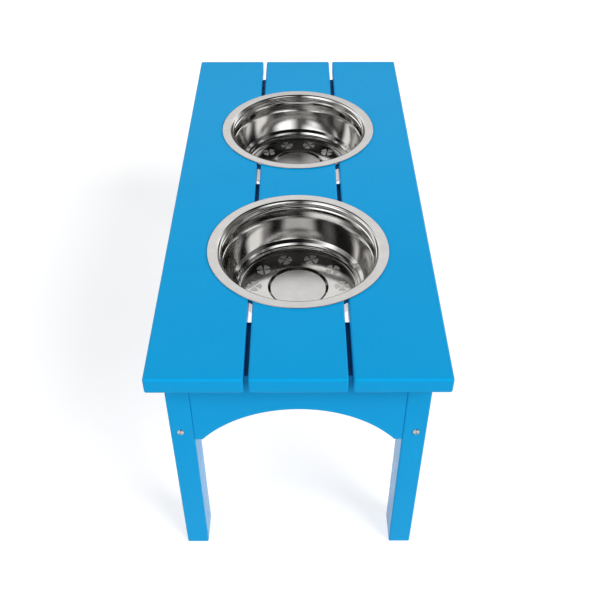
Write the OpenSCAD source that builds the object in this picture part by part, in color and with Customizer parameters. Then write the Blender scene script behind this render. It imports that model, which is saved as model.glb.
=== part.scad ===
// Double pet bowl stand: a slatted table of solid-coloured boards with two drop-in steel bowls.
// Millimetres. Origin on the floor under the middle of the table.
// +X is right, +Y is to the rear along the table, +Z is up.

/* [Table top] */
// Length of the table top, front to rear
top_l = 700; // [630:5:800]
// Height of the table top above the floor
top_h = 332; // [300:1:400]
// Width of each of the three slats
slat_w = 101; // [98:1:112]
// Gap between two slats
slat_gap = 5; // [3:0.5:8]
// Thickness of the slats
slat_t = 20; // [18:0.5:26]
// Rounding of the slat edges
slat_edge = 2.5; // [1:0.5:4]

/* [Legs] */
// Leg size across the table
leg_w = 26.5; // [24:0.5:32]
// Leg size along the table
leg_d = 40.5; // [37:0.5:48]
// Rounding of the leg edges
leg_edge = 2; // [0.5:0.5:3]
// How far the table top stands out past the legs at each side
side_overhang = 14.5; // [8:0.5:20]
// How far the table top stands out past the legs at each end
end_overhang = 24.5; // [18:0.5:32]

/* [Frame] */
// Thickness of the end aprons
apron_t = 26.5; // [22:0.5:30]
// Thickness of the side rails
rail_t = 23; // [19:0.5:26]
// Height of the end aprons and side rails at their ends
apron_h = 104.5; // [96:0.5:120]
// Board left above the arch at its crown
crown_h = 53.5; // [46:0.5:64]
// Flat stretch beside each end of an apron's arch
apron_flat = 8.5; // [5:0.5:16]
// Flat stretch beside each end of a side rail's arch
rail_flat = 45; // [36:1:70]
// Thickness of the cross battens
batten_t = 20; // [16:1:24]

/* [Screws] */
// Shank diameter of every screw
screw_d = 3.5; // [3:0.5:4.5]
// Head diameter of every screw
head_d = 8; // [6.5:0.5:9]
// Height of the domed screw heads
head_h = 2.4; // [1.8:0.1:3]
// Length of the screws through the legs into the rails
rail_screw_l = 65; // [55:1:75]
// Length of the screws into the aprons and the batten ends
apron_screw_l = 50; // [40:1:56]
// Length of the screws through the battens into the slats
slat_screw_l = 32; // [28:1:36]
// Clearance of a screw in its pilot hole, on the radius
screw_play = 0.1; // [0.05:0.05:0.3]
// Lower rail screws above the bottom of the rail
rail_screw_low = 13.5; // [11:0.5:16]
// Upper rail screws below the slats
rail_screw_high = 20; // [18:1:28]
// Lower apron screws above the bottom of the apron
apron_screw_low = 26; // [24:1:30]
// Upper apron screws below the slats
apron_screw_high = 40; // [36:1:46]
// Slat screws in from the edge of a slat or the end of a batten
slat_screw_edge = 14; // [10:1:18]

/* [Bowls] */
// Room between the middle batten and a bowl
middle_room = 18.5; // [12:0.1:28]
// Room between an end batten and a bowl
end_room = 13.4; // [8:0.1:20]
// Outer diameter of the bowl rim
rim_d = 215; // [195:1:235]
// Height of the rolled rim above the slats
rim_h = 1.9; // [1.5:0.1:3]
// Width of the rolled hem under the rim
hem_w = 4; // [2.5:0.5:5]
// Width of the flat rim
rim_w = 10; // [7:0.5:12]
// How far the neck is in from the mouth, below the beads
neck_in = 6; // [4:0.5:9]
// Depth of the neck below the rim
neck_h = 25; // [24:0.5:30]
// How far the wall comes in between the neck and its foot
wall_in = 11; // [8:0.5:20]
// Height of the stepped foot above the floor
foot_h = 11.5; // [9:0.5:15]
// How far the edge of the flat floor is in from the foot of the wall
foot_in = 8.25; // [5:0.25:11]
// Depth of the floor below the rim
bowl_depth = 61.5; // [58:0.5:75]
// Diameter of the sunken disc in the floor
disc_d = 75; // [60:1:90]
// How far the disc is sunk
disc_drop = 2.4; // [1:0.2:3]
// Thickness of the bowl steel
steel_t = 1; // [0.6:0.1:1.4]
// Clearance between the bowl shoulder and its hole, on the radius
bowl_play = 0.5; // [0.3:0.1:2]

/* [Hidden] */
$fn = 96;

BLUE = [0.07, 0.60, 0.85];
STEEL = [0.78, 0.79, 0.79];
LEFT = -1;
RIGHT = 1;
FRONT = -1;
REAR = 1;
SIDES = [-1, 1];

// Overall half sizes and levels
top_w = 3 * slat_w + 2 * slat_gap;
half_w = top_w / 2;
half_l = top_l / 2;
under_top = top_h - slat_t;
slat_pitch = slat_w + slat_gap;

// Legs: outer faces and centres
leg_out_x = half_w - side_overhang;
leg_in_x = leg_out_x - leg_w;
leg_out_y = half_l - end_overhang;
leg_in_y = leg_out_y - leg_d;

// Frame levels
frame_bottom = under_top - apron_h;
arch_rise = apron_h - crown_h;
rail_in_x = leg_out_x - rail_t;
apron_in_y = leg_out_y - apron_t;
batten_bottom = under_top - batten_t;

// Bowl radii, the fillet of the mouth, the bevel of the rim and the bulge of the wall
rim_top = top_h + rim_h;
rim_r = rim_d / 2;
mouth_r = rim_r - rim_w;
hole_r = mouth_r + steel_t + bowl_play;
neck_r = mouth_r - neck_in;
foot_r = neck_r - wall_in;
disc_r = disc_d / 2;
disc_slope = 3.4;
lip_r = 3;
rim_edge = 0.6;
wall_bulge = 0.8;

// The low bead, the widest place of a bowl under the slats
low_bead = 0.3;
bowl_out_r = neck_r + low_bead + steel_t;

// Half the middle batten, a bowl and an end batten share the length inside the aprons
batten_share = 3 / 2;
batten_w = (apron_in_y - 2 * bowl_out_r - middle_room - end_room) / batten_share;
bowl_y = batten_w / 2 + middle_room + bowl_out_r;
end_batten_y = apron_in_y - batten_w / 2;

// Screw places, and the shape of their tips and cross slots
rail_screw_z = [frame_bottom + rail_screw_low, under_top - rail_screw_high];
apron_screw_z = [frame_bottom + apron_screw_low, under_top - apron_screw_high];
batten_screw_z = batten_bottom + batten_t / 2;
leg_batten_y = (apron_in_y + leg_in_y) / 2;
middle_batten_y = batten_w / 4;
tip_l = 5;
slot_w = 0.9;
slot_l = 4.2;
slot_depth = 1.3;
cut = 1;

// A rectangle with rounded corners, centred
module round_rect(w, l, r) {
    square([w - 2 * r, l], center = true);
    square([w, l - 2 * r], center = true);
    for (x = SIDES, y = SIDES)
        translate([x * (w / 2 - r), y * (l / 2 - r)])
            circle(r);
}

// A block with all its edges rounded, standing on z = 0
module round_block(w, l, h, r) {
    intersection() {
        linear_extrude(h)
            round_rect(w, l, r);
        translate([0, l / 2, h / 2])
            rotate([90, 0, 0])
                linear_extrude(l)
                    round_rect(w, h, r);
        translate([-w / 2, 0, h / 2])
            rotate([90, 0, 90])
                linear_extrude(w)
                    round_rect(l, h, r);
    }
}

// A plain board between two corners
module board(low, high) {
    translate(low)
        cube(high - low);
}

// Turns what points up so that it points along an axis, to one side
module face_x(side) {
    rotate([0, side * 90, 0])
        children();
}

module face_y(side) {
    rotate([-side * 90, 0, 0])
        children();
}

module face_down() {
    rotate([180, 0, 0])
        children();
}

// Half outline of a screw whose head sits on z = 0
function screw_outline(l) = concat(
    [[0, -l], [screw_d / 2, tip_l - l], [screw_d / 2, 0]],
    [for (a = [0:15:90]) [head_d / 2 * cos(a), head_h * sin(a)]]
);

// A wood screw with a domed, cross-slotted head
module screw(l) {
    difference() {
        rotate_extrude()
            polygon(screw_outline(l));
        for (a = [0, 90])
            rotate([0, 0, a])
                translate([-slot_l / 2, -slot_w / 2, head_h - slot_depth])
                    cube([slot_l, slot_w, slot_depth + cut]);
    }
}

// The pilot hole of a screw, open at its face
module screw_hole(l) {
    translate([0, 0, -l - cut])
        cylinder(h = l + 2 * cut, r = screw_d / 2 + screw_play);
}

// Places of the screws that run through the legs into the side rails
module at_rail_screws() {
    for (x = SIDES, y = SIDES, z = rail_screw_z)
        translate([x * (leg_out_x - rail_t / 2), y * leg_out_y, z])
            face_y(y)
                children();
}

// Places of the screws that run through the legs into the aprons
module at_apron_screws() {
    for (x = SIDES, y = SIDES, z = apron_screw_z)
        translate([x * leg_out_x, y * (leg_out_y - apron_t / 2), z])
            face_x(x)
                children();
}

// Places of the screws into the ends of the three battens
module at_batten_screws() {
    for (x = SIDES, y = [-leg_batten_y, -middle_batten_y, middle_batten_y, leg_batten_y])
        translate([x * leg_out_x, y, batten_screw_z])
            face_x(x)
                children();
}

// Places of the screws that run up through one batten into the slats
module at_slat_screws(y, half) {
    inner = slat_w / 2;
    for (x = [inner - slat_screw_edge, inner + slat_gap + slat_screw_edge, half - slat_screw_edge])
        for (side = SIDES)
            translate([side * x, y, batten_bottom])
                face_down()
                    children();
}

// Places of the slat screws of all three battens
module at_all_slat_screws() {
    for (y = [-end_batten_y, end_batten_y])
        at_slat_screws(y, leg_in_x)
            children();
    at_slat_screws(0, rail_in_x)
        children();
}

// The two round bowl openings
module bowl_holes() {
    for (y = SIDES)
        translate([0, y * bowl_y, under_top - cut])
            cylinder(h = slat_t + 2 * cut, r = hole_r);
}

// A full-length slat, at 0 for the centre one or one pitch to a side
module slat(side) {
    difference() {
        translate([side * slat_pitch, 0, under_top])
            round_block(slat_w, top_l, slat_t, slat_edge);
        bowl_holes();
        at_all_slat_screws()
            screw_hole(slat_screw_l);
    }
}

module side_slat(side) {
    color(BLUE)
        slat(side);
}

// One of the three pieces that the bowl openings leave of the centre slat
module centre_slat(y0, y1) {
    color(BLUE)
        intersection() {
            slat(0);
            board([-slat_w, y0, 0], [slat_w, y1, top_h + cut]);
        }
}

module centre_front_slat() {
    centre_slat(-top_l, -bowl_y);
}

module centre_middle_slat() {
    centre_slat(-bowl_y, bowl_y);
}

module centre_rear_slat() {
    centre_slat(bowl_y, top_l);
}

// A cross batten under the slats, with the holes of its screws
module batten(y, half) {
    color(BLUE)
        difference() {
            board([-half, y - batten_w / 2, batten_bottom], [half, y + batten_w / 2, under_top]);
            at_slat_screws(y, half)
                screw_hole(slat_screw_l);
            at_batten_screws()
                screw_hole(apron_screw_l);
        }
}

// A cylinder across Y that cuts an arch with a given half width
module arch_cut(half, wide) {
    arch_r = (half * half + arch_rise * arch_rise) / (2 * arch_rise);
    translate([0, wide, frame_bottom + arch_rise - arch_r])
        rotate([90, 0, 0])
            cylinder(h = 2 * wide, r = arch_r, $fn = 180);
}

// An arched end apron between two legs
module apron(side) {
    y0 = min(side * leg_out_y, side * apron_in_y);
    color(BLUE)
        difference() {
            board([-leg_in_x, y0, frame_bottom], [leg_in_x, y0 + apron_t, under_top]);
            arch_cut(leg_in_x - apron_flat, top_l);
            at_apron_screws()
                screw_hole(apron_screw_l);
        }
}

// An arched side rail between two legs
module rail(side) {
    x0 = min(side * leg_out_x, side * rail_in_x);
    color(BLUE)
        difference() {
            board([x0, -leg_in_y, frame_bottom], [x0 + rail_t, leg_in_y, under_top]);
            rotate([0, 0, 90])
                arch_cut(leg_in_y - rail_flat, top_w);
            at_rail_screws()
                screw_hole(rail_screw_l);
            at_batten_screws()
                screw_hole(apron_screw_l);
        }
}

// A leg with rounded edges, flat at the top where it meets the slats
module leg(x, y) {
    color(BLUE)
        difference() {
            translate([x * (leg_in_x + leg_w / 2), y * (leg_in_y + leg_d / 2), 0])
                round_block(leg_w, leg_d, top_h, leg_edge);
            board([-top_w, -top_l, under_top], [top_w, top_l, top_h + cut]);
            at_rail_screws()
                screw_hole(rail_screw_l);
            at_apron_screws()
                screw_hole(apron_screw_l);
            at_batten_screws()
                screw_hole(apron_screw_l);
        }
}

module rail_screws() {
    color(STEEL)
        at_rail_screws()
            screw(rail_screw_l);
}

module apron_screws() {
    color(STEEL)
        at_apron_screws()
            screw(apron_screw_l);
}

module batten_screws() {
    color(STEEL)
        at_batten_screws()
            screw(apron_screw_l);
}

module slat_screws() {
    color(STEEL)
        at_all_slat_screws()
            screw(slat_screw_l);
}

// Inside of the bowl from the rim to the axis, as [radius, depth below the rim]
lip = [for (a = [0:15:75]) [mouth_r - lip_r * sin(a), lip_r * (1 - cos(a))]];
beads = [
    [neck_r + 2.1, 3.4],
    [neck_r + 2.0, 4.0],
    [neck_r + 1.0, 4.8],
    [neck_r + 0.8, 5.8],
    [neck_r + 1.6, 7.2],
    [neck_r + 1.3, 8.3],
    [neck_r + 0.2, 9.6],
    [neck_r - 0.4, 13.6],
    [neck_r + 0.2, 15.0],
    [neck_r + low_bead, neck_h - 3.2],
    [neck_r - 0.6, neck_h - 2.4]
];
wall_top = [neck_r - 1.4, neck_h];
wall_end = [foot_r, bowl_depth - foot_h];
wall = [for (u = [0:0.125:1]) wall_top + u * (wall_end - wall_top) + [4 * wall_bulge * u * (1 - u), 0]];

// The foot's ledge and step down to the floor, as shares of the foot's width and height above the floor
foot_steps = [
    [0.50, 0.72],
    [0.60, 0.48],
    [0.77, 0.37],
    [0.84, 0.13],
    [0.96, 0.04],
    [1.12, 0]
];
foot = [for (p = foot_steps) [foot_r - p[0] * foot_in, bowl_depth - p[1] * foot_h]];
disc = [
    [disc_r, bowl_depth],
    [disc_r - disc_slope, bowl_depth + disc_drop]
];
inside = concat(lip, beads, wall, foot, disc);

// The whole section of the bowl: inside, floor, outside and the rolled rim
inner_side = [for (p = inside) [p[0], -p[1]]];
outer_side = [for (p = inside) [p[0] + steel_t, -p[1] - steel_t]];
rolled_rim = [
    [rim_r - hem_w, -steel_t],
    [rim_r - hem_w, -rim_h],
    [rim_r - rim_edge, -rim_h],
    [rim_r, -rim_h + rim_edge],
    [rim_r, -rim_edge],
    [rim_r - rim_edge, 0]
];
floor_level = -bowl_depth - disc_drop;
section = concat(
    [[0, floor_level]],
    [for (i = [len(inner_side) - 1:-1:0]) inner_side[i]],
    [for (i = [len(rolled_rim) - 1:-1:0]) rolled_rim[i]],
    outer_side,
    [[0, floor_level - steel_t]]
);

// A drop-in steel bowl that hangs in its opening by the rim
module bowl(side) {
    color(STEEL)
        translate([0, side * bowl_y, rim_top])
            rotate_extrude($fn = 180)
                polygon(section);
}

side_slat(LEFT);  // left_slat
side_slat(RIGHT);  // right_slat
centre_front_slat();
centre_middle_slat();
centre_rear_slat();
batten(-end_batten_y, leg_in_x);  // front_batten
batten(0, rail_in_x);  // middle_batten
batten(end_batten_y, leg_in_x);  // rear_batten
apron(FRONT);  // front_apron
apron(REAR);  // rear_apron
rail(LEFT);  // left_rail
rail(RIGHT);  // right_rail
leg(LEFT, FRONT);  // front_left_leg
leg(RIGHT, FRONT);  // front_right_leg
leg(LEFT, REAR);  // rear_left_leg
leg(RIGHT, REAR);  // rear_right_leg
rail_screws();
apron_screws();
batten_screws();
slat_screws();
bowl(FRONT);  // front_bowl
bowl(REAR);  // rear_bowl
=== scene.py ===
# %% [markdown]
# # Double pet bowl stand
# This file builds the looks of a small slatted table that carries two steel bowls.
# It reads like a lesson: each step first says what the piece is on the real object,
# how it could be made, and why this way was chosen. The code after it is short.
#
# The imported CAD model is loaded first. It is the fixed frame: it gives every size and
# place, in metres, with +X to the right, +Y to the rear and +Z up.

# %% Load the frame
import math

import bmesh
import bpy
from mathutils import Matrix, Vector


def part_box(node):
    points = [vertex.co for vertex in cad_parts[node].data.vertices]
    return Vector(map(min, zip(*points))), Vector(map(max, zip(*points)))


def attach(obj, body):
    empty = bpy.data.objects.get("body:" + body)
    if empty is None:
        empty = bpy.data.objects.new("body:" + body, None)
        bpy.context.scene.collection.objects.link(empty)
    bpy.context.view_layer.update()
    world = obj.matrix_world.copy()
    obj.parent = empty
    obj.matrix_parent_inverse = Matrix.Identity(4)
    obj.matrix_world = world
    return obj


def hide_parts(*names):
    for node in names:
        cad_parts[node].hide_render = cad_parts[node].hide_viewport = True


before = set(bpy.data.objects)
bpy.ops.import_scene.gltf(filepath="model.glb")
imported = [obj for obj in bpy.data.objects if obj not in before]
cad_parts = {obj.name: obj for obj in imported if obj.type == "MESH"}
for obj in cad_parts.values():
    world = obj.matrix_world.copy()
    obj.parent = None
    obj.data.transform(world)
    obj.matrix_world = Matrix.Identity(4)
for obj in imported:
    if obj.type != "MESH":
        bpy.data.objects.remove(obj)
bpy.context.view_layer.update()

MM = 0.001

# %% [markdown]
# ## The camera
# The photo looks down at the table from the front, at about 48 degrees. A camera can be
# placed by eye, or worked out from points whose real places are known. Here it was worked
# out from the corners of the slats, the legs and the bowl rims, which all lie on one plane
# or at known heights, so the render can be laid over the photo.

# %% Place the camera
CAMERA_PLACE = (0.00012, -0.91121, 0.94292)
CAMERA_TURN = (48.091, 0.0, -0.156)
CAMERA_LENS = 49.73
CAMERA_SENSOR = 36.0
CAMERA_REACH = 50.0


def add_camera():
    """The camera at the photo's angle."""
    bpy.ops.object.camera_add(location=CAMERA_PLACE)
    camera = bpy.context.object
    camera.name = "photo_camera"
    camera.rotation_euler = [math.radians(angle) for angle in CAMERA_TURN]
    camera.data.sensor_width = CAMERA_SENSOR
    camera.data.lens = CAMERA_LENS
    camera.data.clip_end = CAMERA_REACH
    bpy.context.scene.camera = camera


add_camera()
print("camera at", CAMERA_PLACE)

# %% [markdown]
# ## Helpers for working by hand
# An operator acts on everything that is selected, and the loaded frame is selected, so
# each step starts with nothing selected. A finished piece keeps its origin at the world's
# origin, so that patterns on it stay where they are.

# %% Select and add
def start_clean():
    """Leaves edit mode and deselects everything."""
    if bpy.context.mode != "OBJECT":
        bpy.ops.object.mode_set(mode="OBJECT")
    bpy.ops.object.select_all(action="DESELECT")


def take(piece):
    """Selects one piece and makes it the active one."""
    start_clean()
    piece.select_set(True)
    bpy.context.view_layer.objects.active = piece


def freeze(piece):
    """Moves the piece's place, turn and size into its mesh."""
    take(piece)
    bpy.ops.object.transform_apply(location=True, rotation=True, scale=True)


def add_block(name, low, high):
    """A cube primitive between two corners."""
    start_clean()
    bpy.ops.mesh.primitive_cube_add(size=1, location=(Vector(low) + Vector(high)) / 2)
    block = bpy.context.object
    block.name = name
    block.scale = Vector(high) - Vector(low)
    freeze(block)
    return block


def add_cylinder(name, radius, height, place, sides, turn=(0, 0, 0)):
    """A cylinder primitive, for cutting or as the start of a piece."""
    start_clean()
    bpy.ops.mesh.primitive_cylinder_add(
        vertices=sides, radius=radius, depth=height, location=place, rotation=turn)
    cylinder = bpy.context.object
    cylinder.name = name
    freeze(cylinder)
    return cylinder


start_clean()
print("selected after a clean start:", len(bpy.context.selected_objects))

# %% [markdown]
# Edges and faces are picked in code, by their place, as a hand would click on them. A
# rounded edge is a bevel of the picked edges, and a hole is a Boolean with a cutter that
# is then thrown away. Every board ends with the same finish: doubles merged, faces turned
# outwards, and shading that is smooth over the rounded edges and flat on the flats.

# %% Pick, round, cut and finish
CLOSE = 0.05 * MM
DOUBLES = 0.02 * MM
SMOOTH_ANGLE = math.radians(32)


def pick(piece, kind, wanted):
    """In edit mode, selects the edges or faces for which wanted(part) is true."""
    take(piece)
    bpy.ops.object.mode_set(mode="EDIT")
    bpy.ops.mesh.select_mode(type=kind)
    bpy.ops.mesh.select_all(action="DESELECT")
    mesh = bmesh.from_edit_mesh(piece.data)
    parts = mesh.edges if kind == "EDGE" else mesh.faces
    chosen = [part for part in parts if wanted(part)]
    for part in chosen:
        part.select_set(True)
    bmesh.update_edit_mesh(piece.data)
    return len(chosen)


def near(value, target, slack=CLOSE):
    """True if two lengths in metres agree."""
    return abs(value - target) < slack


def both_ends(edge, test):
    """True if both ends of an edge pass a test."""
    return all(test(vertex.co) for vertex in edge.verts)


def lies_at(edge, axis, value):
    """True if an edge has one place all along it on an axis, 0, 1 or 2 for X, Y or Z."""
    return both_ends(edge, lambda point: near(point[axis], value))


def round_edges(piece, wanted, radius, steps):
    """Bevels the picked edges to a small radius."""
    pick(piece, "EDGE", wanted)
    bpy.ops.mesh.bevel(offset=radius, segments=steps, affect="EDGES", clamp_overlap=True)
    bpy.ops.object.mode_set(mode="OBJECT")


def cut_with(piece, cutter):
    """Cuts one piece with another, which is then gone."""
    take(piece)
    modifier = piece.modifiers.new("cut", "BOOLEAN")
    modifier.operation = "DIFFERENCE"
    modifier.solver = "EXACT"
    modifier.object = cutter
    bpy.ops.object.modifier_apply(modifier=modifier.name)
    bpy.data.objects.remove(cutter)


def finish_board(piece):
    """Merges doubles, turns faces outwards, smooths the rounded edges, keeps the flats flat."""
    freeze(piece)
    bpy.ops.object.mode_set(mode="EDIT")
    bpy.ops.mesh.select_all(action="SELECT")
    bpy.ops.mesh.remove_doubles(threshold=DOUBLES)
    bpy.ops.mesh.normals_make_consistent(inside=False)
    bpy.ops.object.mode_set(mode="OBJECT")
    bpy.ops.object.shade_smooth_by_angle(angle=SMOOTH_ANGLE)
    modifier = piece.modifiers.new("flats", "WEIGHTED_NORMAL")
    modifier.keep_sharp = True
    bpy.ops.object.modifier_apply(modifier=modifier.name)


def dress(piece, material, body, slot, *nodes):
    """Gives a piece its finish and its body, and hides the CAD nodes it stands for. The slot is
    not used.
    """
    piece.data.materials.clear()
    piece.data.materials.append(material)
    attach(piece, body)
    if nodes:
        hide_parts(*nodes)


print("edges are smooth up to", round(math.degrees(SMOOTH_ANGLE)), "degrees")

# %% [markdown]
# ## The node helpers
# A finish is a small tree of nodes. Each is built from the same few moves: noise on the
# object's own coordinates, a range that turns the noise into a share or a gloss, a blend
# of two close colours, and a shallow relief. What is the same all over a surface is set
# on the shader itself.

# %% Add nodes, noise and relief
NOISE_LOW = 0.35
NOISE_HIGH = 0.65


def new_material(name):
    """A material with its tree and its shader."""
    material = bpy.data.materials.new(name)
    material.use_nodes = True
    tree = material.node_tree
    shader = tree.nodes["Principled BSDF"]
    return material, tree, shader


def add_node(tree, kind, **values):
    """Adds a node and sets its properties, or its inputs where the name is an input."""
    node = tree.nodes.new(kind)
    for name, value in values.items():
        if name in node.inputs:
            node.inputs[name].default_value = value
        else:
            setattr(node, name, value)
    return node


def add_noise(tree, coordinates, scale, detail):
    """Noise of a given size on some coordinates."""
    noise = add_node(tree, "ShaderNodeTexNoise", Scale=scale, Detail=detail)
    tree.links.new(coordinates, noise.inputs["Vector"])
    return noise.outputs["Fac"]


def span(tree, factor, low, high):
    """Turns the middle range of noise into a value between low and high."""
    ends = {"From Min": NOISE_LOW, "From Max": NOISE_HIGH, "To Min": low, "To Max": high}
    node = add_node(tree, "ShaderNodeMapRange", **ends)
    tree.links.new(factor, node.inputs["Value"])
    return node.outputs["Result"]


def blend_colours(tree, factor, light, dark, shader):
    """Blends two colours by a factor into the shader's colour."""
    colour = add_node(tree, "ShaderNodeMix", data_type="RGBA")
    colour.inputs["A"].default_value = light
    colour.inputs["B"].default_value = dark
    tree.links.new(factor, colour.inputs["Factor"])
    tree.links.new(colour.outputs["Result"], shader.inputs["Base Color"])


def add_relief(tree, height, relief, under=None):
    """A shallow relief from a pattern, laid over another relief if one is given."""
    bump = add_node(tree, "ShaderNodeBump", **relief)
    tree.links.new(height, bump.inputs["Height"])
    if under is not None:
        tree.links.new(under, bump.inputs["Normal"])
    return bump.outputs["Normal"]


print("noise counts from", NOISE_LOW, "to", NOISE_HIGH)

# %% [markdown]
# ## The blue finish
# The boards are one solid blue all through, as plastic lumber or an even coat of paint
# is. Such a board still has fine streaks along its length from the die or the plane, a
# very fine pebble and slight clouds in its colour. The gloss is weak from above and rises
# at a glancing view, which a low specular level with a smooth surface gives. The streaks
# run along each board, so there is one finish for each direction of the grain.

# %% Mix the blue finishes
BLUE = (0.003, 0.335, 0.695, 1.0)
BLUE_DEEP = (0.002, 0.318, 0.672, 1.0)
BLUE_SHARE = (0.4, 1.0)
BLUE_ROUGHNESS = (0.17, 0.25)
BLUE_IOR = 1.5
BLUE_SPECULAR = 0.06
STREAK_STRETCH = 0.03
STREAKS = {"scale": 900.0, "detail": 4.0}
CLOUDS = {"scale": 14.0, "detail": 2.0}
PEBBLE = {"scale": 2600.0, "detail": 1.0}
STREAK_RELIEF = {"Strength": 0.05, "Distance": 0.2 * MM}
PEBBLE_RELIEF = {"Strength": 0.03, "Distance": 0.1 * MM}


def blue_finish(name, grain):
    """Blue board whose streaks run along the grain, given as 0, 1 or 2 for X, Y or Z."""
    material, tree, shader = new_material(name)
    place = tree.nodes.new("ShaderNodeTexCoord").outputs["Object"]
    stretch = [1.0, 1.0, 1.0]
    stretch[grain] = STREAK_STRETCH
    along = add_node(tree, "ShaderNodeMapping", Scale=stretch)
    tree.links.new(place, along.inputs["Vector"])
    streaks = add_noise(tree, along.outputs["Vector"], **STREAKS)
    clouds = add_noise(tree, place, **CLOUDS)
    pebble = add_noise(tree, place, **PEBBLE)
    both = add_node(tree, "ShaderNodeMath", operation="MULTIPLY")
    tree.links.new(span(tree, clouds, *BLUE_SHARE), both.inputs[0])
    tree.links.new(span(tree, streaks, *BLUE_SHARE), both.inputs[1])
    blend_colours(tree, both.outputs[0], BLUE, BLUE_DEEP, shader)
    tree.links.new(span(tree, streaks, *BLUE_ROUGHNESS), shader.inputs["Roughness"])
    grooves = add_relief(tree, streaks, STREAK_RELIEF)
    tree.links.new(add_relief(tree, pebble, PEBBLE_RELIEF, grooves), shader.inputs["Normal"])
    shader.inputs["IOR"].default_value = BLUE_IOR
    shader.inputs["Specular IOR Level"].default_value = BLUE_SPECULAR
    return material


blue_across = blue_finish("blue_board_across", 0)
blue_along = blue_finish("blue_board_along", 1)
blue_upright = blue_finish("blue_board_upright", 2)
print("blue finishes:", blue_across.name, blue_along.name, blue_upright.name)

# %% [markdown]
# ## The slats
# The top is three boards with rounded edges and a narrow gap between them. Two round
# openings, wider than the middle board, hold the bowls and cut that board in three. Each
# board is a cube at the size of its CAD node. Its long and end edges are bevelled first,
# then a cylinder cuts the openings with a Boolean, because a drilled hole cuts through a
# finished board, and the hole's own edge is broken with a finer bevel. Each of the three
# pieces of the middle board is cut from a board of the full length, so its ends get the
# same rounding and the same arcs as the side boards.

# %% Make the slats
SLAT_EDGE = (2.5 * MM, 4)
HOLE_EDGE = (0.8 * MM, 2)
HOLE_RADIUS = 99.0 * MM
HOLE_SLACK = 0.3 * MM
HOLE_SIDES = 192
HOLE_CUTTER = 50.0 * MM
SLATS = ("left_slat", "right_slat",
         "centre_front_slat", "centre_middle_slat", "centre_rear_slat")

bowl_centres = {}
for bowl_name in ("front_bowl", "rear_bowl"):
    bowl_low, bowl_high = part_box(bowl_name)
    bowl_centres[bowl_name] = (bowl_low.y + bowl_high.y) / 2
slat_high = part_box("left_slat")[1]
half_length = slat_high.y


def on_hole(edge, height):
    """True for an edge of a bowl opening at one face of the slats."""
    def on_circle(point):
        reaches = [Vector((point.x, point.y - y)).length for y in bowl_centres.values()]
        return near(min(reaches), HOLE_RADIUS, HOLE_SLACK) and near(point.z, height)
    return both_ends(edge, on_circle)


def keep_between(piece, front, rear):
    """Deletes all of a cut board but what lies between two places along Y."""
    take(piece)
    bpy.ops.object.mode_set(mode="EDIT")
    bpy.ops.mesh.select_mode(type="VERT")
    bpy.ops.mesh.select_all(action="DESELECT")
    mesh = bmesh.from_edit_mesh(piece.data)
    for vertex in mesh.verts:
        vertex.select = not front < vertex.co.y < rear
    mesh.select_flush_mode()
    bmesh.update_edit_mesh(piece.data)
    bpy.ops.mesh.delete(type="VERT")
    bpy.ops.object.mode_set(mode="OBJECT")


def make_slat(node):
    """One slat board with its share of the openings."""
    low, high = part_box(node)
    start = low.copy()
    end = high.copy()
    if node.startswith("centre"):
        start.y = -half_length
        end.y = half_length
    slat = add_block(node + "_board", start, end)
    round_edges(slat, lambda edge: True, *SLAT_EDGE)
    for y in bowl_centres.values():
        place = (0, y, (low.z + high.z) / 2)
        cut_with(slat, add_cylinder("hole_cutter", HOLE_RADIUS, HOLE_CUTTER, place, HOLE_SIDES))
    for height in (low.z, high.z):
        round_edges(slat, lambda edge: on_hole(edge, height), *HOLE_EDGE)
    if node.startswith("centre"):
        keep_between(slat, low.y - MM, high.y + MM)
    finish_board(slat)
    dress(slat, blue_along, "stand", "blue_board", node)
    return slat


slats = [make_slat(node) for node in SLATS]
print("slats, with faces:", [(slat.name, len(slat.data.polygons)) for slat in slats])

# %% [markdown]
# ## The legs
# The four legs are plain posts with softly rounded edges, cut square at the top where
# the slats sit on them. A cube per leg is enough, with every edge bevelled except those
# round its top, which has to lie flat against the boards.

# %% Make the legs
LEG_EDGE = (2.0 * MM, 4)
LEGS = ("front_left_leg", "front_right_leg", "rear_left_leg", "rear_right_leg")


def make_leg(node):
    """One leg post."""
    low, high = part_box(node)
    leg = add_block(node + "_post", low, high)
    round_edges(leg, lambda edge: not lies_at(edge, 2, high.z), *LEG_EDGE)
    finish_board(leg)
    dress(leg, blue_upright, "stand", "blue_board", node)
    return leg


legs = [make_leg(node) for node in LEGS]
print("legs:", [leg.name for leg in legs])

# %% [markdown]
# ## The aprons and rails
# A board joins each pair of legs under the top, and its lower edge is an arch sawn with
# one radius. The arch could be bent from a cube with many cuts, but one large cylinder
# across the board cuts it exactly, as a jigsaw guided by a trammel would. The sawn edges
# are eased by a small bevel, and the ends stay square against the legs.

# %% Make the aprons and rails
SAWN_EDGE = (1.0 * MM, 3)
ARCH_RISE = 51.0 * MM
ARCH_CUTTER = 60.0 * MM
APRON_FLAT = 8.5 * MM
APRON_SIDES = 256
RAIL_FLAT = 45.0 * MM
RAIL_SIDES = 512
QUARTER_TURN = math.radians(90)


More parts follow.
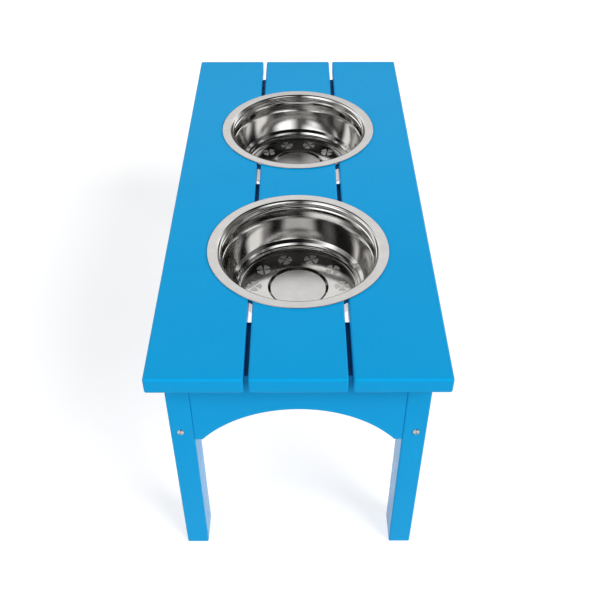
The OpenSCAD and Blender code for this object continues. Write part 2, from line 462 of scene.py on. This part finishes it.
def make_arched(node, along, flat, sides, material):
    """An arched board that runs along an axis, 0 for X or 1 for Y, with flats at its ends."""
    low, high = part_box(node)
    across = 1 - along
    board = add_block(node + "_board", low, high)
    half = (high[along] - low[along]) / 2 - flat
    radius = (half * half + ARCH_RISE * ARCH_RISE) / (2 * ARCH_RISE)
    place = (low + high) / 2
    place.z = low.z + ARCH_RISE - radius
    turn = [0.0, 0.0, 0.0]
    turn[along] = QUARTER_TURN
    cut_with(board, add_cylinder("arch_cutter", radius, ARCH_CUTTER, place, sides, turn))

    def on_sawn_edge(edge):
        on_face = lies_at(edge, across, low[across]) or lies_at(edge, across, high[across])
        on_end = lies_at(edge, along, low[along]) or lies_at(edge, along, high[along])
        return on_face and not on_end and not lies_at(edge, 2, high.z)

    round_edges(board, on_sawn_edge, *SAWN_EDGE)
    finish_board(board)
    dress(board, material, "stand", "blue_board", node)
    return board


arched_boards = []
for node in ("front_apron", "rear_apron"):
    arched_boards.append(make_arched(node, 0, APRON_FLAT, APRON_SIDES, blue_across))
for node in ("left_rail", "right_rail"):
    arched_boards.append(make_arched(node, 1, RAIL_FLAT, RAIL_SIDES, blue_along))
print("arched boards, with faces:",
      [(board.name, len(board.data.polygons)) for board in arched_boards])

# %% [markdown]
# ## The battens
# Three battens cross under the slats and tie them together. They show as dark bands in
# the gaps. A cube with eased edges is all that a planed batten is.

# %% Make the battens
BATTEN_EDGE = (1.0 * MM, 2)
BATTENS = ("front_batten", "middle_batten", "rear_batten")


def make_batten(node):
    """One cross batten."""
    low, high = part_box(node)
    batten = add_block(node + "_board", low, high)
    round_edges(batten, lambda edge: True, *BATTEN_EDGE)
    finish_board(batten)
    dress(batten, blue_across, "stand", "blue_board", node)
    return batten


battens = [make_batten(node) for node in BATTENS]
print("battens:", [batten.name for batten in battens])

# %% [markdown]
# ## The steel
# The bowls are pressed from bright sheet and the screws are plain steel. Polished steel
# shows fine turning lines round its own axis. A pattern on the distance from the axis and
# on the height gives these lines, as a small change in gloss and a very shallow relief.
# The rim and the sunken disc are satin and the rosettes are etched, so the same recipe is mixed
# with a rougher surface. The rosettes' metal is also made paler than steel, a painted sheen that
# stands in for the lamp light their etching would catch.

# %% Mix the steel finishes
STEEL = (0.560, 0.552, 0.540, 1.0)
STEEL_DARK = (0.528, 0.520, 0.508, 1.0)
# The paler etched metal is a painted sheen: lamp light on the etched rosettes, painted into
# their colour.
ETCHED_SHEEN = (0.86, 0.85, 0.83, 1.0)
ETCHED_SHEEN_DARK = (0.80, 0.79, 0.77, 1.0)
POLISHED_ROUGHNESS = (0.09, 0.12)
SATIN_ROUGHNESS = (0.2, 0.26)
ETCHED_ROUGHNESS = (0.4, 0.5)
SCREW_ROUGHNESS = (0.2, 0.28)
STEEL_CLOUDS = {"scale": 60.0, "detail": 2.0}
LINE_SIZE = 2400.0
LINE_DETAIL = 2.0
LINE_RELIEF = {"Strength": 0.04, "Distance": 0.05 * MM}


def turning_lines(tree, place, centre):
    """Noise that runs in rings about an upright axis at a place along Y."""
    centred = add_node(tree, "ShaderNodeMapping", Location=(0, -centre, 0))
    tree.links.new(place, centred.inputs["Vector"])
    flat = add_node(tree, "ShaderNodeVectorMath", operation="MULTIPLY")
    flat.inputs[1].default_value = (1, 1, 0)
    tree.links.new(centred.outputs["Vector"], flat.inputs[0])
    distance = add_node(tree, "ShaderNodeVectorMath", operation="LENGTH")
    tree.links.new(flat.outputs["Vector"], distance.inputs[0])
    level = add_node(tree, "ShaderNodeSeparateXYZ")
    tree.links.new(place, level.inputs["Vector"])
    line = add_node(tree, "ShaderNodeMath", operation="ADD")
    tree.links.new(distance.outputs["Value"], line.inputs[0])
    tree.links.new(level.outputs["Z"], line.inputs[1])
    lines = add_node(
        tree, "ShaderNodeTexNoise", noise_dimensions="1D", Scale=LINE_SIZE, Detail=LINE_DETAIL)
    tree.links.new(line.outputs["Value"], lines.inputs["W"])
    return lines.outputs["Fac"]


def steel_finish(name, centre, roughness, light=STEEL, dark=STEEL_DARK):
    """Steel with turning lines about an upright axis that stands at a place along Y."""
    material, tree, shader = new_material(name)
    place = tree.nodes.new("ShaderNodeTexCoord").outputs["Object"]
    lines = turning_lines(tree, place, centre)
    clouds = add_noise(tree, place, **STEEL_CLOUDS)
    blend_colours(tree, span(tree, clouds, 0.0, 1.0), light, dark, shader)
    tree.links.new(span(tree, lines, *roughness), shader.inputs["Roughness"])
    tree.links.new(add_relief(tree, lines, LINE_RELIEF), shader.inputs["Normal"])
    shader.inputs["Metallic"].default_value = 1.0
    return material


polished = {}
satin = {}
etched = {}
for bowl_name, centre in bowl_centres.items():
    polished[bowl_name] = steel_finish(bowl_name + "_polished", centre, POLISHED_ROUGHNESS)
    satin[bowl_name] = steel_finish(bowl_name + "_satin", centre, SATIN_ROUGHNESS)
    # The etched finish is rougher, and paler as a painted sheen.
    etched[bowl_name] = steel_finish(
        bowl_name + "_etched_sheen", centre, ETCHED_ROUGHNESS, ETCHED_SHEEN, ETCHED_SHEEN_DARK)
screw_steel = steel_finish("screw_steel", 0.0, SCREW_ROUGHNESS)
print("steel finishes:", len(polished) + len(satin) + len(etched) + 1)

# %% [markdown]
# ## The screws
# The frame is held by domed wood screws with a cross slot. One screw is modelled at the
# origin with its head up: half a sphere is flattened for the head, its open edge is
# extruded and scaled into the shank, and the shank ends in a point. Two boxes cut the
# cross.

# %% Model a screw
SHANK_RADIUS = 1.75 * MM
HEAD_RADIUS = 4.0 * MM
HEAD_HEIGHT = 2.4 * MM
HEAD_SIDES = 32
HEAD_RINGS = 16
TIP_LENGTH = 5.0 * MM
SLOT_LENGTH = 4.2 * MM
SLOT_WIDTH = 0.9 * MM
SLOT_DEPTH = 1.3 * MM


def make_screw(length):
    """A domed wood screw whose head sits on z = 0 and whose shank points down."""
    start_clean()
    bpy.ops.mesh.primitive_uv_sphere_add(
        segments=HEAD_SIDES, ring_count=HEAD_RINGS, radius=HEAD_RADIUS)
    screw = bpy.context.object
    screw.name = "screw_model"
    screw.scale.z = HEAD_HEIGHT / HEAD_RADIUS
    freeze(screw)
    pick(screw, "FACE", lambda face: face.calc_center_median().z < 0)
    bpy.ops.mesh.delete(type="FACE")
    bpy.ops.object.mode_set(mode="OBJECT")
    pick(screw, "EDGE", lambda edge: edge.is_boundary)
    shrink = SHANK_RADIUS / HEAD_RADIUS
    bpy.ops.mesh.extrude_region_move()
    bpy.ops.transform.resize(value=(shrink, shrink, 1), center_override=(0, 0, 0))
    shank = (0, 0, TIP_LENGTH - length)
    bpy.ops.mesh.extrude_region_move(TRANSFORM_OT_translate={"value": shank})
    bpy.ops.mesh.extrude_region_move(TRANSFORM_OT_translate={"value": (0, 0, -TIP_LENGTH)})
    bpy.ops.mesh.merge(type="CENTER")
    bpy.ops.object.mode_set(mode="OBJECT")
    for along, across in ((SLOT_LENGTH, SLOT_WIDTH), (SLOT_WIDTH, SLOT_LENGTH)):
        low = (-along / 2, -across / 2, HEAD_HEIGHT - SLOT_DEPTH)
        high = (along / 2, across / 2, HEAD_HEIGHT + SLOT_DEPTH)
        cut_with(screw, add_block("slot_cutter", low, high))
    finish_board(screw)
    return screw


print("screw heads:", HEAD_RADIUS * 2 / MM, "mm across")

# %% [markdown]
# The places of the screws follow the boards that they join: through the legs into the
# rails and aprons, into the ends of the battens, and up through the battens into the
# slats. All are measured from the CAD nodes, so they stay right if a board changes.

# %% Find the places of the screws
SIDES = (-1, 1)
RAIL_SCREW_LOW = 13.5 * MM
RAIL_SCREW_HIGH = 20.0 * MM
APRON_SCREW_LOW = 26.0 * MM
APRON_SCREW_HIGH = 40.0 * MM
SLAT_SCREW_EDGE = 14.0 * MM

leg_low, leg_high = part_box("front_left_leg")
apron_low, apron_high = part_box("front_apron")
rail_low, rail_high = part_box("left_rail")
batten_low, batten_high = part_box("middle_batten")
end_low, end_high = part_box("rear_batten")
centre_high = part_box("centre_front_slat")[1]

rail_line = -(rail_low.x + rail_high.x) / 2
apron_line = -(apron_low.y + apron_high.y) / 2
batten_level = (batten_low.z + batten_high.z) / 2
end_screw_line = -(apron_high.y + leg_high.y) / 2
middle_screw_line = (batten_high.y - batten_low.y) / 4
end_batten_line = (end_low.y + end_high.y) / 2
rail_levels = (apron_low.z + RAIL_SCREW_LOW, apron_high.z - RAIL_SCREW_HIGH)
apron_levels = (apron_low.z + APRON_SCREW_LOW, apron_high.z - APRON_SCREW_HIGH)
batten_lines = (-end_screw_line, -middle_screw_line, middle_screw_line, end_screw_line)


def slat_row(half):
    """Places across one batten of the screws that run up into the slats."""
    inner = (centre_high.x - SLAT_SCREW_EDGE, -slat_high.x + SLAT_SCREW_EDGE)
    return inner + (half - SLAT_SCREW_EDGE,)


slat_rows = (
    (-end_batten_line, slat_row(end_high.x)),
    (0.0, slat_row(batten_high.x)),
    (end_batten_line, slat_row(end_high.x)),
)
rail_places = [((x * rail_line, y * -leg_low.y, z), (0, y, 0))
               for x in SIDES for y in SIDES for z in rail_levels]
apron_places = [((x * -leg_low.x, y * apron_line, z), (x, 0, 0))
                for x in SIDES for y in SIDES for z in apron_levels]
batten_places = [((x * -leg_low.x, y, batten_level), (x, 0, 0))
                 for x in SIDES for y in batten_lines]
slat_places = [((side * x, y, batten_low.z), (0, 0, -1))
               for y, row in slat_rows for x in row for side in SIDES]
print("levels of the rail screws:", [round(level / MM, 1) for level in rail_levels], "mm")

# %% [markdown]
# Each length of screw is modelled once. It is then copied to every place of its group,
# turned so that its head points out of the board, and the group is joined into one piece.

# %% Set the screws
def copy_to(model, name, placings):
    """Copies a model to each (place, turn), joins the copies and removes the model."""
    copies = []
    for place, turn in placings:
        copy = model.copy()
        copy.data = model.data.copy()
        bpy.context.scene.collection.objects.link(copy)
        copy.location = place
        copy.rotation_euler = turn
        freeze(copy)
        copies.append(copy)
    bpy.data.objects.remove(model)
    start_clean()
    for copy in copies:
        copy.select_set(True)
    bpy.context.view_layer.objects.active = copies[0]
    bpy.ops.object.join()
    joined = bpy.context.object
    joined.name = name
    return joined


def set_screws(name, node, length, places):
    """Sets a screw at each (point, direction of the head), as one piece."""
    placings = [(point, Vector(way).to_track_quat("Z", "Y").to_euler()) for point, way in places]
    screws = copy_to(make_screw(length), name, placings)
    dress(screws, screw_steel, "stand", "screw_steel", node)


SCREW_GROUPS = (
    ("rail_screw_set", "rail_screws", 65.0 * MM, rail_places),
    ("apron_screw_set", "apron_screws", 50.0 * MM, apron_places),
    ("batten_screw_set", "batten_screws", 50.0 * MM, batten_places),
    ("slat_screw_set", "slat_screws", 32.0 * MM, slat_places),
)
for name, node, length, places in SCREW_GROUPS:
    set_screws(name, node, length, places)
    print(node, "count:", len(places))

# %% [markdown]
# ## The bowls
# A bowl of this kind is spun or pressed from one disc: a flat rim whose edge turns under,
# a neck with ring beads, a shoulder, a tapered wall, a stepped foot and a floor with a
# sunken disc. Only half of its section has to be drawn, as a list of corners from the
# mouth to the middle of the floor. Each corner holds a radius, a depth below the rim and
# the size of its rounding, all in millimetres. The rim's edge and the hem under it are
# close points with no rounding of their own.

# %% List the corners of the section
STEEL_THICKNESS = 1.0
RIM_RADIUS = 107.5
RIM_HEIGHT = 1.9
MOUTH_RADIUS = 97.5
LIP_RADIUS = 3.0
LIP_END = 80
LIP_STEP = 5
WALL_BULGE = 0.8
WALL_STEPS = 12
WALL_TOP = (90.1, 25.0)
WALL_END = (80.5, 50.0)
FLOOR_DEPTH = 61.5
DISC_DEPTH = 63.9
NECK = [(93.6, 3.4, 0.5), (93.5, 4.0, 0.4), (92.5, 4.8, 0.6), (92.3, 5.8, 0.7),
        (93.1, 7.2, 0.8), (92.8, 8.3, 0.6), (91.7, 9.6, 1.2), (91.1, 13.6, 2.0),
        (91.7, 15.0, 0.8), (91.8, 21.8, 1.0), (90.9, 22.6, 0.6), (*WALL_TOP, 1.0)]
FOOT = [(*WALL_END, 0.8), (77.0, 53.6, 0.8), (75.55, 56.2, 0.4), (74.15, 57.25, 0.4),
        (73.6, 60.0, 0.6), (71.25, FLOOR_DEPTH, 1.6), (37.5, FLOOR_DEPTH, 0.4),
        (34.0, DISC_DEPTH, 0.4), (0.0, DISC_DEPTH, 0.0)]
RIM_EDGE = [(107.1, 0.0), (107.35, 0.08), (RIM_RADIUS, 0.3), (107.45, 0.55),
            (107.2, 1.0), (106.8, 1.45), (106.4, 1.75), (106.0, RIM_HEIGHT)]
HEM = [(104.2, RIM_HEIGHT), (103.7, 1.75), (103.5, 1.3), (103.5, STEEL_THICKNESS)]


def lip_points():
    """The rolled lip between the flat rim and the neck."""
    points = []
    for degrees in range(0, LIP_END, LIP_STEP):
        angle = math.radians(degrees)
        radius = MOUTH_RADIUS - LIP_RADIUS * math.sin(angle)
        points.append((radius, LIP_RADIUS * (1 - math.cos(angle)), 0.0))
    return points


def wall_points():
    """The tapered wall with its slight bulge, without its two ends."""
    points = []
    for step in range(1, WALL_STEPS):
        share = step / WALL_STEPS
        radius = WALL_TOP[0] + share * (WALL_END[0] - WALL_TOP[0])
        radius += 4 * WALL_BULGE * share * (1 - share)
        depth = WALL_TOP[1] + share * (WALL_END[1] - WALL_TOP[1])
        points.append((radius, depth, 0.0))
    return points


corners = lip_points() + NECK + wall_points() + FOOT
print("corners of the section:", len(corners))

# %% [markdown]
# Each corner gets the small radius that a pressed sheet has, because polished steel shows
# every corner. The long straights get an extra point near both ends, so that smooth
# shading leaves them flat. The outside is the inside moved by the sheet's thickness, and
# the rim's edge and its hem join the two.

# %% Round the section
INSIDE_STEPS = 4
OUTSIDE_STEPS = 2
STRAIGHT = 0.02
LONGEST_SHARE = 0.45
LONG_FLAT = 3.0
FLAT_INSET = 0.15


def fillet(points, steps):
    """Rounds each corner of a section by its own radius."""
    rounded = [points[0][:2]]
    for before, corner, after in zip(points, points[1:], points[2:]):
        here = Vector(corner[:2])
        back = Vector(before[:2]) - here
        on = Vector(after[:2]) - here
        turn = math.pi - back.angle(on)
        if corner[2] == 0 or turn < STRAIGHT:
            rounded.append(corner[:2])
            continue
        longest = LONGEST_SHARE * min(back.length, on.length)
        reach = min(corner[2] * math.tan(turn / 2), longest)
        start = here + back.normalized() * reach
        end = here + on.normalized() * reach
        for step in range(steps + 1):
            share = step / steps
            point = start.lerp(here, share).lerp(here.lerp(end, share), share)
            rounded.append(tuple(point))
    rounded.append(points[-1][:2])
    return rounded


def hold_flats(points):
    """Adds a point near both ends of each long straight."""
    held = [points[0]]
    for start, end in zip(points, points[1:]):
        way = Vector(end) - Vector(start)
        if way.length > LONG_FLAT:
            step = way.normalized() * FLAT_INSET
            held.append(tuple(Vector(start) + step))
            held.append(tuple(Vector(end) - step))
        held.append(end)
    return held


under = [(radius + STEEL_THICKNESS, depth + STEEL_THICKNESS, rounding)
         for radius, depth, rounding in corners[:-1]]
under.append((0.0, DISC_DEPTH + STEEL_THICKNESS, 0.0))
inside = hold_flats(fillet(corners, INSIDE_STEPS))
outside = hold_flats(fillet(under, OUTSIDE_STEPS))
over_rim = hold_flats([inside[0]] + RIM_EDGE + HEM + [outside[0]])[1:-1]
section = inside[::-1] + over_rim + outside
print("section points:", len(section))

# %% [markdown]
# The section is drawn from the middle of the floor up the inside, over the rim and down
# the outside, by extruding a vertex from point to point. The spin operator turns it
# through a full circle, which gives a closed shell. Its doubles are merged where the
# first and last section meet and at the two poles, and its normals are then made to
# point outwards. The second bowl is a copy with a mesh of its own, moved to its own
# opening.

# %% Spin the bowls
SPIN_STEPS = 180
SEED_SIZE = 10.0 * MM
BOWL_SMOOTH = math.radians(40)
RIM_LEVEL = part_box("front_bowl")[1].z
RIM_SKIN = 0.2 * MM
DISC_LEVEL = RIM_LEVEL - (FLOOR_DEPTH + DISC_DEPTH) / 2 * MM
SATIN_RIM = 97.3 * MM
SATIN_DISC = 34.6 * MM
FACING_UP = 0.5


def spin_bowl(name):
    """The section as a chain of extruded vertices, spun about the upright axis."""
    start_clean()
    bpy.ops.mesh.primitive_plane_add(size=SEED_SIZE)
    bowl = bpy.context.object
    bowl.name = name
    bpy.ops.object.mode_set(mode="EDIT")
    bpy.ops.mesh.select_mode(type="VERT")
    bpy.ops.mesh.select_all(action="SELECT")
    bpy.ops.mesh.merge(type="CENTER")
    first = section[0]
    bpy.ops.transform.translate(value=(first[0] * MM, 0, RIM_LEVEL - first[1] * MM))
    for before, after in zip(section, section[1:]):
        move = ((after[0] - before[0]) * MM, 0, (before[1] - after[1]) * MM)
        bpy.ops.mesh.extrude_region_move(TRANSFORM_OT_translate={"value": move})
    bpy.ops.mesh.select_all(action="SELECT")
    bpy.ops.mesh.spin(steps=SPIN_STEPS, angle=2 * math.pi, center=(0, 0, 0), axis=(0, 0, 1))
    bpy.ops.mesh.select_all(action="SELECT")
    bpy.ops.mesh.remove_doubles(threshold=DOUBLES)
    bpy.ops.mesh.normals_make_consistent(inside=False)
    bpy.ops.object.mode_set(mode="OBJECT")
    bpy.ops.object.shade_smooth_by_angle(angle=BOWL_SMOOTH)
    return bowl


def paint_bowl(bowl, node, centre):
    """Moves a bowl to its opening: polished all over, with a satin rim and disc."""
    bowl.location.y = centre
    freeze(bowl)
    bowl.data.materials.append(polished[node])
    bowl.data.materials.append(satin[node])

    def is_satin(face):
        place = face.calc_center_median()
        radius = Vector((place.x, place.y - centre)).length
        on_rim = radius > SATIN_RIM and place.z > RIM_LEVEL - RIM_SKIN
        on_disc = radius < SATIN_DISC and place.z < DISC_LEVEL and face.normal.z > FACING_UP
        return on_rim or on_disc

    count = pick(bowl, "FACE", is_satin)
    bowl.active_material_index = 1
    bpy.ops.object.material_slot_assign()
    bpy.ops.object.mode_set(mode="OBJECT")
    return count


front_bowl = spin_bowl("front_bowl_steel")
rear_bowl = front_bowl.copy()
rear_bowl.data = front_bowl.data.copy()
rear_bowl.name = "rear_bowl_steel"
bpy.context.scene.collection.objects.link(rear_bowl)
for bowl, node in ((front_bowl, "front_bowl"), (rear_bowl, "rear_bowl")):
    satin_faces = paint_bowl(bowl, node, bowl_centres[node])
    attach(bowl, node)
    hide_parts(node)
    print(bowl.name, "faces:", len(bowl.data.polygons), "satin:", satin_faces)

# %% [markdown]
# ## The rosettes
# Ten small rosettes are etched in a ring on each bowl's floor. Each is a plain round of
# four petals. They could be painted on, but then they would have no edge to catch the
# light, so each is a very thin disc. Four wedges cut it into petals: the gap between two
# petals is narrow at the middle and opens to a notch at the rim, and the corners are
# rounded. One rosette is then copied ten times round the axis.

# %% Make the rosettes
ROSETTE_COUNT = 10
ROSETTE_RING = 54.0 * MM
ROSETTE_RADIUS = 9.0 * MM
ROSETTE_HEIGHT = 0.12 * MM
ROSETTE_SIDES = 48
PETAL_GAP = 0.7 * MM
PETAL_EDGE = (1.0 * MM, 3)
PETAL_CORNER = math.radians(30)
NOTCH_WIDTH = 3.8 * MM
NOTCH_REACH = 1.2 * ROSETTE_RADIUS
NOTCH_TURNS = (45, 135, 225, 315)
INWARD = -0.5
FLOOR_LEVEL = RIM_LEVEL - FLOOR_DEPTH * MM


def make_rosette():
    """One rosette of four petals, standing on the floor at the origin."""
    middle = (0, 0, ROSETTE_HEIGHT / 2)
    rosette = add_cylinder("rosette", ROSETTE_RADIUS, ROSETTE_HEIGHT, middle, ROSETTE_SIDES)
    for degrees in NOTCH_TURNS:
        low = (-PETAL_GAP / 4, -NOTCH_WIDTH / 2, -MM)
        wedge = add_block("notch_cutter", low, (NOTCH_REACH, NOTCH_WIDTH / 2, MM))
        pick(wedge, "FACE", lambda face: face.normal.x < INWARD)
        bpy.ops.transform.resize(value=(1, PETAL_GAP / NOTCH_WIDTH, 1))
        bpy.ops.object.mode_set(mode="OBJECT")
        wedge.rotation_euler.z = math.radians(degrees)
        freeze(wedge)
        cut_with(rosette, wedge)

    def is_corner(edge):
        upright = abs(edge.verts[0].co.z - edge.verts[1].co.z) > ROSETTE_HEIGHT / 2
        return upright and edge.calc_face_angle(0) > PETAL_CORNER

    round_edges(rosette, is_corner, *PETAL_EDGE)
    finish_board(rosette)
    return rosette


def ring_of_rosettes(node, centre):
    """The rosettes round the axis of one bowl, as one piece that rides with the bowl."""
    placings = []
    for number in range(ROSETTE_COUNT):
        angle = number * 2 * math.pi / ROSETTE_COUNT
        across = ROSETTE_RING * math.cos(angle)
        along = centre + ROSETTE_RING * math.sin(angle)
        placings.append(((across, along, FLOOR_LEVEL), (0, 0, angle)))
    ring = copy_to(make_rosette(), node + "_rosettes", placings)
    dress(ring, etched[node], node, "bowl_steel")
    return ring


rosette_rings = [ring_of_rosettes(node, centre) for node, centre in bowl_centres.items()]
print("rosettes:", [ring.name for ring in rosette_rings])

# %% [markdown]
# ## The floor and the world
# The object stands on a plain pale floor. White light from all sides would flatten the
# object, so the floor and the world are only white where the camera, gloss or glass sees
# them, and weaker where they light the object. The floor's own colour is a middle grey,
# so the object's shadow still shows on it.

# %% Lay the floor and light the world
WHITE = (1.0, 1.0, 1.0, 1.0)
FLOOR_SIZE = 40.0
FLOOR_COLOUR = (0.50, 0.50, 0.51, 1.0)
FLOOR_LIFT = 0.66
SKY_FILL = 0.20


def seen_ray(tree):
    """1 for rays from the camera, a mirror or glass, else 0."""
    path = add_node(tree, "ShaderNodeLightPath")
    first = add_node(tree, "ShaderNodeMath", operation="MAXIMUM")
    tree.links.new(path.outputs["Is Camera Ray"], first.inputs[0])
    tree.links.new(path.outputs["Is Glossy Ray"], first.inputs[1])
    second = add_node(tree, "ShaderNodeMath", operation="MAXIMUM")
    tree.links.new(first.outputs[0], second.inputs[0])
    tree.links.new(path.outputs["Is Transmission Ray"], second.inputs[1])
    return second.outputs[0]


def add_floor():
    """A plain floor, lifted to white where it is seen, that keeps the shadow."""
    start_clean()
    bpy.ops.mesh.primitive_plane_add(size=FLOOR_SIZE)
    floor = bpy.context.object
    floor.name = "studio_floor"
    material, tree, shader = new_material("studio_floor")
    tree.nodes.remove(shader)
    plain = add_node(tree, "ShaderNodeBsdfDiffuse", Color=FLOOR_COLOUR)
    lift = add_node(tree, "ShaderNodeEmission", Color=WHITE)
    strength = add_node(tree, "ShaderNodeMath", operation="MULTIPLY")
    strength.inputs[1].default_value = FLOOR_LIFT
    tree.links.new(seen_ray(tree), strength.inputs[0])
    tree.links.new(strength.outputs[0], lift.inputs["Strength"])
    both = add_node(tree, "ShaderNodeAddShader")
    tree.links.new(plain.outputs[0], both.inputs[0])
    tree.links.new(lift.outputs[0], both.inputs[1])
    tree.links.new(both.outputs[0], tree.nodes["Material Output"].inputs["Surface"])
    floor.data.materials.append(material)


def light_world():
    """White where it is seen, and a weak fill where it lights."""
    world = bpy.data.worlds.new("studio_world")
    bpy.context.scene.world = world
    world.use_nodes = True
    tree = world.node_tree
    background = tree.nodes["Background"]
    background.inputs["Color"].default_value = WHITE
    strength = add_node(tree, "ShaderNodeMapRange", **{"To Min": SKY_FILL, "To Max": 1.0})
    tree.links.new(seen_ray(tree), strength.inputs["Value"])
    tree.links.new(strength.outputs["Result"], background.inputs["Strength"])


add_floor()
light_world()
print("floor:", FLOOR_SIZE, "m wide, fill light:", SKY_FILL)

# %% [markdown]
# ## The lamps
# The boards are lit softly from the front right, with a weaker light from the front left.
# Both lamps are suns with a wide angle, which give even light and soft shadows. Gloss
# doesn't see them, because a sun would show as a hard round spot in the steel. Here and in
# the studio below, a direction is a bearing from the rear towards the right, and a height,
# in degrees. A lamp holds these two, its strength and its spread.

# %% Set the lamps
STUDIO_MIDDLE = Vector((0, 0, 0.3))
LAMP_DISTANCE = 2.5
LAMPS = {"key_lamp": (130, 36, 2.82, 34), "fill_lamp": (235, 35, 1.42, 40)}


def way_to(bearing, height):
    """The direction of a bearing and a height, both in degrees."""
    turn = math.radians(bearing)
    lift = math.radians(height)
    flat = math.cos(lift)
    return Vector((math.sin(turn) * flat, math.cos(turn) * flat, math.sin(lift)))


def add_lamp(name, bearing, height, strength, spread):
    """A soft far lamp that metal doesn't mirror."""
    start_clean()
    way = way_to(bearing, height)
    bpy.ops.object.light_add(type="SUN", location=STUDIO_MIDDLE + way * LAMP_DISTANCE)
    lamp = bpy.context.object
    lamp.name = name
    lamp.rotation_euler = way.to_track_quat("Z", "Y").to_euler()
    lamp.data.energy = strength
    lamp.data.angle = math.radians(spread)
    lamp.visible_glossy = False


for name, values in LAMPS.items():
    add_lamp(name, *values)
    print(name, "bearing, height, strength, spread:", values)

# %% [markdown]
# ## The panels
# Polished steel only shows what stands round it, so a photographer sets white panels and
# hangs dark cloths to give the bowls their light and dark bars. Separate planes could
# stand for them, but their hard edges would show as rectangles in the steel. Here they
# are one dome, with a brightness at each vertex, so that every panel fades softly at its
# edges as a real softbox does. Only gloss sees the dome, so it doesn't change the light
# on the boards. A panel holds its left and right bearing, its lowest and highest height,
# and its brightness.

# %% Build the dome of panels
DOME_RADIUS = 3.0
DOME_STEP = 2
DARK_CLOTH = 0.01
SIDE_FADE = 20
HEIGHT_FADE = 5
PANELS = {
    "right_softbox": (133, 172, 5, 30, 2.1),
    "left_softbox": (195, 250, 20, 45, 2.4),
    "high_left_softbox": (238, 272, 38, 47, 0.7),
    "strip_light": (203, 225, 4, 20, 1.9),
    "rear_right_softbox": (30, 60, 0, 26, 2.0),
    "rear_left_softbox": (258, 335, 0, 25, 1.7),
    "left_screen": (246, 272, 22, 46, 0.55),
    "rear_wall": (316, 408, 22, 56, 1.24),
    "right_screen": (78, 112, 0, 46, 0.25),
    "ceiling": (0, 360, 68, 95, 0.06),
    "grey_cloth": (0, 360, -5, 30, 0.14),
}


def fade(value, low, high, softness):
    """One between two edges and zero outside, falling over a soft edge."""
    middle = (low + high) / 2
    outside = abs(value - middle) - (high - low) / 2
    return min(1, max(0, 0.5 - outside / softness))


def glow_at(bearing, height):
    """The brightness of the studio in a direction: the brightest panel there, or cloth."""
    glow = DARK_CLOTH
    for left, right, low, high, brightness in PANELS.values():
        middle = (left + right) / 2
        nearest = middle + (bearing - middle + 180) % 360 - 180
        share = fade(nearest, left, right, SIDE_FADE) * fade(height, low, high, HEIGHT_FADE)
        glow = max(glow, share * brightness)
    return glow


def glow_material():
    """A light whose strength is the glow of the mesh it is on."""
    material, tree, shader = new_material("studio_panels")
    tree.nodes.remove(shader)
    emission = add_node(tree, "ShaderNodeEmission", Color=WHITE)
    reading = add_node(tree, "ShaderNodeAttribute", attribute_name="glow")
    tree.links.new(reading.outputs["Fac"], emission.inputs["Strength"])
    tree.links.new(emission.outputs[0], tree.nodes["Material Output"].inputs["Surface"])
    return material


def build_dome():
    """The upper half of a sphere round the object, with a glow at each vertex."""
    start_clean()
    bpy.ops.mesh.primitive_uv_sphere_add(
        segments=360 // DOME_STEP, ring_count=180 // DOME_STEP, radius=DOME_RADIUS,
        location=STUDIO_MIDDLE)
    dome = bpy.context.object
    dome.name = "studio_dome"
    freeze(dome)
    pick(dome, "FACE", lambda face: face.calc_center_median().z < STUDIO_MIDDLE.z)
    bpy.ops.mesh.delete(type="FACE")
    bpy.ops.object.mode_set(mode="OBJECT")
    glow = dome.data.attributes.new("glow", "FLOAT", "POINT")
    for number, vertex in enumerate(dome.data.vertices):
        way = (vertex.co - STUDIO_MIDDLE).normalized()
        bearing = math.degrees(math.atan2(way.x, way.y))
        glow.data[number].value = glow_at(bearing, math.degrees(math.asin(way.z)))
    dome.data.materials.append(glow_material())
    dome.visible_camera = False
    dome.visible_diffuse = False
    dome.visible_shadow = False
    return dome


studio_dome = build_dome()
print("panels:", len(PANELS), "dome faces:", len(studio_dome.data.polygons))

# %% [markdown]
# ## The view
# A colour should render about as it is written, so the plain view is used and the rest
# of the view settings stay as they are.

# %% Show colours as written
scene = bpy.context.scene
scene.view_settings.view_transform = "Standard"
print("view:", scene.view_settings.view_transform)

# %% [markdown]
# ## The end
# The script ends with nothing selected.

# %% Finish
start_clean()
